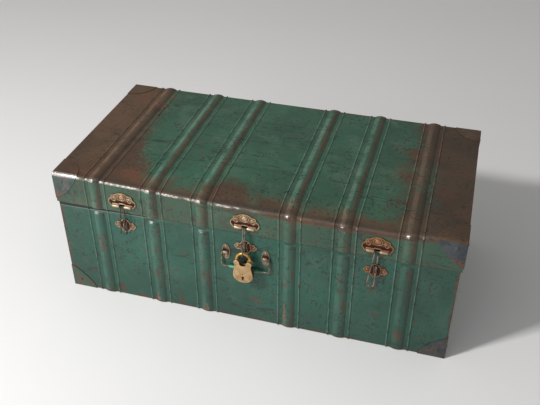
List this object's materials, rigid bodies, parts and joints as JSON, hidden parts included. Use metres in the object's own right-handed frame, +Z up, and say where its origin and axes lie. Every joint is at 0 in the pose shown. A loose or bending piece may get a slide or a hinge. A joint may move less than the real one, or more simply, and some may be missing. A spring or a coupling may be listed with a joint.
{
  "type": "travel trunk",
  "caption": "Rectangular sheet-metal travel trunk with pressed ribs, corner caps, rear-hinged lid, wire-link hasps, drop handles and a hanging padlock.",
  "frame": {"origin": "middle of the resting plane, below the centre of the closed trunk's bounding box", "axes": "+X along the length to the right seen from the front, +Z up, the front with the hasps faces -Y"},
  "size_m": [0.7704, 0.4121, 0.2784],
  "materials": {
    "green_paint": "satin, worn",
    "worn_lid_paint": "satin, worn to brown metal at the ends",
    "blued_steel": "dull",
    "dark_wire": "oxidised",
    "old_brass": "tarnished",
    "padlock_brass": "worn",
    "grip_paint": "gloss",
    "hinge_steel": "oxidised"
  },
  "bodies": {
    "body": {"body_front": "green_paint", "body_back": "green_paint", "body_end_left": "green_paint", "body_end_right": "green_paint", "body_bottom": "green_paint", "body_rim_bead": "green_paint", "body_cap_front_left": "blued_steel", "body_cap_front_right": "blued_steel", "body_cap_back_left": "blued_steel", "body_cap_back_right": "blued_steel", "left_staple_plate": "old_brass", "centre_staple_plate": "old_brass", "right_staple_plate": "old_brass", "left_staple": "dark_wire", "centre_staple": "dark_wire", "right_staple": "dark_wire", "front_bracket_left": "old_brass", "front_bracket_right": "old_brass", "left_end_bracket_left": "old_brass", "left_end_bracket_right": "old_brass", "right_end_bracket_left": "old_brass", "right_end_bracket_right": "old_brass", "hinge_1_body_leaf": "hinge_steel", "hinge_1_pin": "hinge_steel", "hinge_2_body_leaf": "hinge_steel", "hinge_2_pin": "hinge_steel", "hinge_3_body_leaf": "hinge_steel", "hinge_3_pin": "hinge_steel"},
    "lid": {"lid_wrapper": "worn_lid_paint", "lid_end_left": "worn_lid_paint", "lid_end_right": "worn_lid_paint", "lid_cap_front_left": "blued_steel", "lid_cap_front_right": "blued_steel", "lid_cap_back_left": "blued_steel", "lid_cap_back_right": "blued_steel", "left_hasp_plate": "old_brass", "centre_hasp_plate": "old_brass", "right_hasp_plate": "old_brass", "hinge_1_lid_leaf": "hinge_steel", "hinge_2_lid_leaf": "hinge_steel", "hinge_3_lid_leaf": "hinge_steel"},
    "left_link": {"left_link": "dark_wire"},
    "centre_link": {"centre_link": "dark_wire"},
    "right_link": {"right_link": "dark_wire"},
    "shackle": {"padlock_shackle": "padlock_brass"},
    "padlock": {"padlock_case": "padlock_brass", "padlock_pin": "dark_wire"},
    "front_handle": {"front_bail": "dark_wire", "front_grip": "grip_paint"},
    "left_end_handle": {"left_end_bail": "dark_wire", "left_end_grip": "grip_paint"},
    "right_end_handle": {"right_end_bail": "dark_wire", "right_end_grip": "grip_paint"}
  },
  "joints": [
    {"name": "lid_hinge", "type": "hinge", "parent": "body", "child": "lid", "pos_m": [0, 0.20285, 0.2085], "axis": [-1, 0, 0], "range_deg": [0, 105]},
    {"name": "left_link_swing", "type": "hinge", "parent": "lid", "child": "left_link", "pos_m": [-0.24153, -0.19055, 0.2265], "axis": [-1, 0, 0], "range_deg": [0, 150]},
    {"name": "centre_link_swing", "type": "hinge", "parent": "lid", "child": "centre_link", "pos_m": [-0.0035, -0.19055, 0.2265], "axis": [-1, 0, 0], "range_deg": [0, 150]},
    {"name": "right_link_swing", "type": "hinge", "parent": "lid", "child": "right_link", "pos_m": [0.23453, -0.19055, 0.2265], "axis": [-1, 0, 0], "range_deg": [0, 150]},
    {"name": "padlock_swing", "type": "hinge", "parent": "centre_link", "child": "shackle", "pos_m": [-0.0035, -0.20055, 0.176], "axis": [-1, 0, 0], "range_deg": [0, 95]},
    {"name": "padlock_open", "type": "hinge", "parent": "shackle", "child": "padlock", "pos_m": [-0.016, -0.20055, 0.152], "axis": [0, 1, 0], "range_deg": [0, 65]},
    {"name": "front_handle_swing", "type": "hinge", "parent": "body", "child": "front_handle", "pos_m": [-0.0035, -0.18845, 0.162], "axis": [-1, 0, 0], "range_deg": [0, 95]},
    {"name": "left_end_handle_swing", "type": "hinge", "parent": "body", "child": "left_end_handle", "pos_m": [-0.3814, 0.00645, 0.15], "axis": [0, 1, 0], "range_deg": [0, 95]},
    {"name": "right_end_handle_swing", "type": "hinge", "parent": "body", "child": "right_end_handle", "pos_m": [0.3814, 0.00645, 0.15], "axis": [0, -1, 0], "range_deg": [0, 95]}
  ],
  "couplings": [
    {"joint": "padlock_swing", "follows": "front_handle_swing", "ratio": 1}
  ]
}
